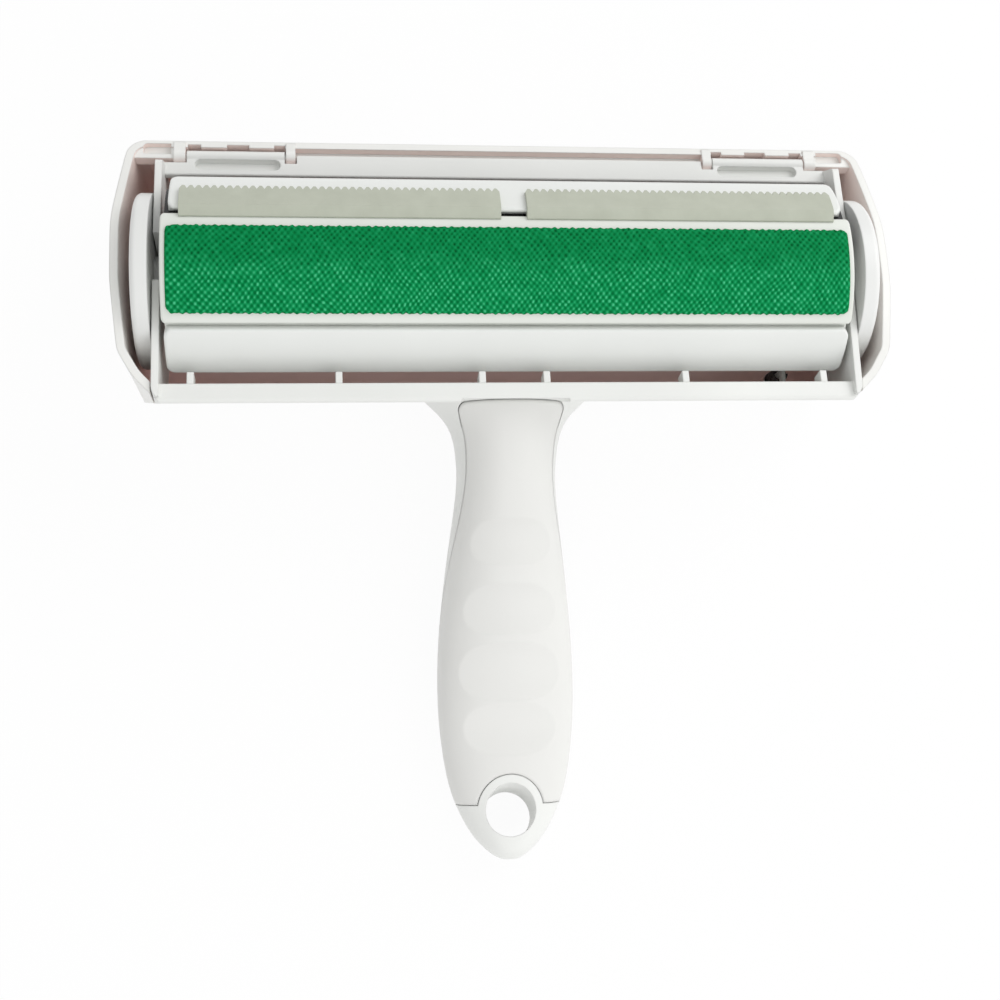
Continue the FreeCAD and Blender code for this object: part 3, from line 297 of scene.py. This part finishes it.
def core_plastic():
    """The drum's core: painted black shade where it shows in the slots beside the combs, pale on the
    other side.
    """
    m = plastic("core_plastic", linear(236, 238, 233), linear(226, 229, 223), 0.42, 0.0003)
    place = m.add("ShaderNodeSeparateXYZ")
    m.link(m.place, place.inputs[0])
    painted_slot_shade = m.span(place.outputs["Y"], *CORE_SHADE_CHANGE, 0.0, 1.0)
    pale = m.shader.inputs["Base Color"].links[0].from_socket
    # painted black shade on the hinge side, where the core shows deep in the slots
    m.colour(m.mix(painted_slot_shade, pale, linear(26, 25, 26)))
    return m


def rubber(name, light, dark):
    """Soft matte rubber: dull, with a faint dusty mottle."""
    m = Material(name, 0.62)
    m.colour(m.ramp(m.noise(MOTTLE_SCALE, 5.0, 0.6), ((0.30, dark), (0.70, light))))
    m.rough(m.span(m.noise(PATCH_SCALE, 3.0, 0.5), 0.3, 0.7, 0.55, 0.72))
    grain = m.noise(RUBBER_GRAIN_SCALE, 3.0, 0.6)
    m.normal(m.bump(grain, 0.22, RUBBER_GRAIN_HEIGHT, m.soft_edges(COMB_EDGE)))
    return m


def steel(name, light, dark, roughness):
    """Drawn steel: fine streaks along its length and a darker film in places."""
    m = Material(name, roughness, 0.9)
    m.colour(m.ramp(m.noise(FILM_SCALE, 4.0, 0.6), ((0.35, dark), (0.65, light))))
    m.rough(m.span(m.noise(WORN_SCALE, 3.0, 0.6), 0.3, 0.7, roughness - 0.08, roughness + 0.12))
    m.normal(m.bump(m.noise(STREAK_SCALE, 2.0, 0.5, (1.0, 1.0, 6.0)), 0.2, GRAIN_HEIGHT))
    return m


def pile():
    """Green pile: painted shade in the pits between the tufts, paler tips with painted highlights,
    brightest on the lower half where the glints are painted, and fine fibres.
    """
    m = Material("pile_weave", 0.44)
    height = m.add("ShaderNodeAttribute", attribute_name="tuft").outputs["Fac"]
    patch = m.span(m.noise(PATCH_SCALE, 3.0, 0.6), 0.3, 0.7, -0.10, 0.10)
    # the weave's height, with random patches, keys the painted shade in the pits and the painted
    # highlights on the tips
    glint_and_shade_height = combined(m.tree, "ADD", height, patch)
    # upper half: a shaded copy of the green, with painted shade in the pits
    upper = m.ramp(glint_and_shade_height, (
        (0.05, linear(0, 88, 40)),
        (0.32, linear(0, 116, 58)),
        (0.58, linear(10, 138, 78)),
        (0.85, linear(44, 166, 108)),
    ))
    # lower half: a lit copy of the green, with painted glints on the tuft tips
    lower = m.ramp(glint_and_shade_height, (
        (0.05, linear(0, 96, 46)),
        (0.26, linear(0, 126, 66)),
        (0.52, linear(28, 162, 98)),
        (0.84, linear(84, 208, 150)),
    ))
    side = m.add("ShaderNodeAttribute", attribute_name="lower").outputs["Fac"]
    fibres = m.noise(FIBRE_SCALE, 4.0, 0.7, (1.0, 0.32, 1.0))
    shade = m.ramp(fibres, ((0.32, linear(0, 74, 36)), (0.72, linear(12, 156, 92))))
    part = m.span(fibres, 0.2, 0.8, 0.10, 0.30)
    # the lower mask blends from the shaded copy to the lit copy with painted glints
    m.colour(m.mix(part, m.mix(side, upper, lower), shade))
    m.rough(m.span(fibres, 0.3, 0.7, 0.34, 0.56))
    m.normal(m.bump(fibres, 0.65, FIBRE_HEIGHT))
    m.shader.inputs["Specular IOR Level"].default_value = 0.03
    return m


def dress(materials):
    """Gives each CAD node the material of its own piece."""
    for node, key in MATERIAL_OF.items():
        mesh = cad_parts[node].data
        mesh.materials.clear()
        mesh.materials.append(materials[key].made)


def scatter(i, j, seed):
    """A steady value from 0 to 1 for each tuft."""
    value = np.sin(i * 12.9898 + j * 78.233 + seed * 37.719) * 43758.5453
    return value - np.floor(value)


def wave(x, shape):
    """A sine wave along x from a size, a length and a phase."""
    size, length, phase = shape
    return size * np.sin(x / length + phase)


def wander(x, y):
    """How far the rows of tufts wander at places on the strip, across and along."""
    across = BROAD_RIPPLE * np.sin(x / BROAD_ACROSS[0] + 2.1 * np.sin(y / BROAD_ACROSS[1]))
    across += FINE_RIPPLE * np.sin(x / FINE_ACROSS[0] - y / FINE_ACROSS[1])
    along = BROAD_RIPPLE * np.sin(x / BROAD_ALONG[0] + y / BROAD_ALONG[1])
    along += FINE_RIPPLE * np.sin(x / FINE_ALONG[0] + 1.3 * np.sin(y / FINE_ALONG[1]))
    return across + wave(x, SLOW_ACROSS), along + wave(x, SLOW_ALONG)


def tuft_field(x, y, lower):
    """Height of the weave, from 0 to 1, at places on the strip.

    Tufts stand in staggered rows. They stand proud on the lower half, where lower is 1, and pits lie
    between them on the upper half. Some tufts and some pits are larger than others.
    """
    drift, lift = wander(x, y)
    across = x / TUFT_ACROSS + drift
    along = y / TUFT_ALONG + lift
    weave = np.cos(2 * np.pi * across) * np.cos(np.pi * along)
    row = np.round(along)
    column = np.round(across - 0.5 * np.mod(row, 2))
    pit_column = np.round(across - 0.5 * np.mod(row + 1, 2))
    size = 0.05 + 0.95 * scatter(column, row, TUFT_SEED) ** 1.8
    depth = 0.15 + 0.85 * scatter(pit_column, row, PIT_SEED)
    proud = 0.36 + 0.25 * weave + 0.46 * size * np.clip(weave, 0.0, None) ** 0.9
    pitted = 0.50 + 0.17 * weave - 0.46 * depth * np.clip(-weave, 0.0, None) ** 1.3
    pitted += 0.10 * (size - 0.4)
    return np.clip(pitted + (proud - pitted) * lower, 0.0, 1.0)


def rounded(share):
    """The height of a quarter circle at a share of its width, from 0 to 1."""
    return np.sqrt(np.clip(1.0 - (1.0 - np.clip(share, 0.0, 1.0)) ** 2, 0.0, 1.0))


def pile_grid():
    """Places on the flat strip as two grids, and the distance of each place from the nearest edge."""
    x = np.linspace(-1.0, 1.0, PILE_COLUMNS) * PILE_HALF_LENGTH
    t = np.linspace(0.0, 1.0, PILE_ROWS)
    half = PILE_TOP * math.radians(PILE_HALF_ANGLE)
    past = np.clip(np.abs(x) - (PILE_HALF_LENGTH - PILE_CORNER), 0.0, PILE_CORNER)
    drawn_in = PILE_CORNER - np.sqrt(PILE_CORNER ** 2 - past ** 2)
    fray = wave(x, FRAY_WAVES[0]) + wave(x, FRAY_WAVES[1])
    low, high = -half + drawn_in + fray, half - drawn_in + fray
    grid_x = np.repeat(x[:, None], PILE_ROWS, axis=1)
    grid_y = low[:, None] + (high - low)[:, None] * t[None, :]
    to_edge = np.minimum(grid_y - low[:, None], high[:, None] - grid_y)
    return grid_x, grid_y, np.minimum(to_edge, PILE_HALF_LENGTH - np.abs(grid_x))


def on_drum(x, y, radius):
    """Points at places on the flat strip and at radii from the arc's centre, on the turned drum."""
    angle = y / PILE_TOP + math.radians(PILE_MIDDLE_ANGLE)
    across = radius * np.sin(angle)
    up = radius * np.cos(angle) - SURFACE_DROP
    turn = math.radians(DRUM_TURN)
    return np.stack([
        x,
        across * math.cos(turn) - up * math.sin(turn),
        across * math.sin(turn) + up * math.cos(turn) + DRUM_AXIS_HEIGHT,
    ], axis=-1).reshape(-1, 3)


def pile_strip():
    """The pile as one sheet of tufts that follows the drum and rolls down to the panel at its edges."""
    x, y, to_edge = pile_grid()
    sway = CHANGE_SWAY * np.sin(x / CHANGE_SWAY_LENGTH)
    lower = 1.0 / (1.0 + np.exp((y - CHANGE_PLACE + sway) / CHANGE_WIDTH))
    tuft = tuft_field(x, y, lower)
    roll = rounded(to_edge / PILE_ROLL)
    radius = PILE_BASE + PILE_LIFT + (PILE_TOP - PILE_BASE - TUFT_HEIGHT + TUFT_HEIGHT * tuft) * roll
    points = on_drum(x, y, radius)
    index = np.arange(PILE_COLUMNS * PILE_ROWS).reshape(PILE_COLUMNS, PILE_ROWS)
    corners = [index[:-1, :-1], index[1:, :-1], index[1:, 1:], index[:-1, 1:]]
    quads = np.stack(corners, axis=-1).reshape(-1, 4)
    mesh = bpy.data.meshes.new("pile_weave")
    mesh.from_pydata(points.tolist(), [], quads.tolist())
    mesh.polygons.foreach_set("use_smooth", [True] * len(mesh.polygons))
    # the tuft height, lowered where the edges roll down, also darkens the painted shade there
    for name, values in (("tuft", tuft * (0.55 + 0.45 * roll)), ("lower", lower)):
        mesh.attributes.new(name, "FLOAT", "POINT").data.foreach_set("value", values.reshape(-1))
    strip = bpy.data.objects.new("pile_weave", mesh)
    bpy.context.scene.collection.objects.link(strip)
    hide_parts("fabric_strip")
    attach(strip, "drum")
    return strip


def camera():
    """The camera at the photograph's place and angle."""
    data = bpy.data.cameras.new("view")
    data.lens = CAMERA_LENS
    data.sensor_width = SENSOR_WIDTH
    data.sensor_fit = "HORIZONTAL"
    data.clip_start = CLIP_START
    view = bpy.data.objects.new("view", data)
    turn = Matrix((CAMERA_RIGHT, CAMERA_UP, CAMERA_BACK)).transposed()
    view.matrix_world = Matrix.Translation(CAMERA_PLACE) @ turn.normalized().to_4x4()
    bpy.context.scene.collection.objects.link(view)
    bpy.context.scene.camera = view


def lamp(name, place, side, power):
    """A square white lamp that points at the head."""
    data = bpy.data.lights.new(name, "AREA")
    data.shape = "RECTANGLE"
    data.size, data.size_y = side, side
    data.energy = power
    light = bpy.data.objects.new(name, data)
    aim = (Vector(LAMP_TARGET) - Vector(place)).to_track_quat("-Z", "Y")
    light.matrix_world = Matrix.Translation(place) @ aim.to_matrix().to_4x4()
    bpy.context.scene.collection.objects.link(light)


def white_for_the_eye(tree, shader, share, target):
    """Mixes plain white into what the camera, glossy and clear rays see of a shader."""
    rays = tree.nodes.new("ShaderNodeLightPath")
    white = tree.nodes.new("ShaderNodeEmission")
    white.inputs["Color"].default_value = (1.0, 1.0, 1.0, 1.0)
    seen = rays.outputs["Is Camera Ray"]
    for other in ("Is Glossy Ray", "Is Transmission Ray"):
        seen = combined(tree, "MAXIMUM", seen, rays.outputs[other])
    mix = tree.nodes.new("ShaderNodeMixShader")
    tree.links.new(combined(tree, "MULTIPLY", seen, share), mix.inputs["Fac"])
    tree.links.new(shader, mix.inputs[1])
    tree.links.new(white.outputs["Emission"], mix.inputs[2])
    tree.links.new(mix.outputs["Shader"], target)


def stage():
    """A plain white floor that keeps a faint shadow, and a white surround."""
    mesh = bpy.data.meshes.new("floor")
    half = FLOOR_HALF_SIDE
    corners = [(-half, -half, 0), (half, -half, 0), (half, half, 0), (-half, half, 0)]
    mesh.from_pydata(corners, [], [(0, 1, 2, 3)])
    floor = bpy.data.objects.new("floor", mesh)
    floor.location.z = -FLOOR_DROP
    bpy.context.scene.collection.objects.link(floor)
    made = bpy.data.materials.new("floor_paper")
    made.use_nodes = True
    tree = made.node_tree
    shader = tree.nodes["Principled BSDF"]
    shader.inputs["Base Color"].default_value = linear(246, 246, 246)
    shader.inputs["Roughness"].default_value = 0.9
    surface = tree.nodes["Material Output"].inputs["Surface"]
    white_for_the_eye(tree, shader.outputs["BSDF"], FLOOR_WHITE_SHARE, surface)
    mesh.materials.append(made)
    world = bpy.data.worlds.new("surround")
    bpy.context.scene.world = world
    world.use_nodes = True
    tree = world.node_tree
    background = tree.nodes["Background"]
    background.inputs["Color"].default_value = (1.0, 1.0, 1.0, 1.0)
    background.inputs["Strength"].default_value = SURROUND_STRENGTH
    surface = tree.nodes["World Output"].inputs["Surface"]
    white_for_the_eye(tree, background.outputs["Background"], 1.0, surface)


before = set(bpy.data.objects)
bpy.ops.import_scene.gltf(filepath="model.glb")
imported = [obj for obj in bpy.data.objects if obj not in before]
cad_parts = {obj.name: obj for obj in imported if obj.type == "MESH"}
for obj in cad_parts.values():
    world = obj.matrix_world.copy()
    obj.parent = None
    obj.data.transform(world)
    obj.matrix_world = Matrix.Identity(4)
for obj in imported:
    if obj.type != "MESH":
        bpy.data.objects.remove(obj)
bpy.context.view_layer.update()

bpy.context.scene.view_settings.view_transform = "Standard"
camera()
materials = {
    "body": plastic("body_plastic", linear(235, 236, 233), linear(230, 231, 228), 0.38, 0.0005),
    "cover": plastic("cover_plastic", linear(229, 229, 226), linear(225, 225, 222), 0.42, 0.0014),
    "bin": bin_plastic(),
    "button": plastic("button_plastic", linear(232, 233, 229), linear(225, 226, 222), 0.42, 0.0004),
    "core": core_plastic(),
    "bar": plastic("bar_plastic", linear(234, 236, 233), linear(230, 232, 229), 0.34, 0.0006),
    "panel": plastic("panel_plastic", linear(229, 232, 226), linear(224, 227, 220), 0.40, 0.0004),
    "disc": plastic("disc_plastic", linear(234, 235, 233), linear(228, 229, 227), 0.36, 0.0006),
    "comb": rubber("comb_rubber", linear(188, 192, 177), linear(180, 184, 169)),
    "spring": steel("spring_steel", linear(96, 90, 88), linear(52, 48, 47), 0.38),
    "screw": steel("screw_steel", linear(190, 190, 192), linear(150, 150, 152), 0.34),
    "pile": pile(),
}
dress(materials)
pile_strip().data.materials.append(materials["pile"].made)
stage()
for name, (place, side, power) in LAMPS.items():
    lamp(name, place, side, power)
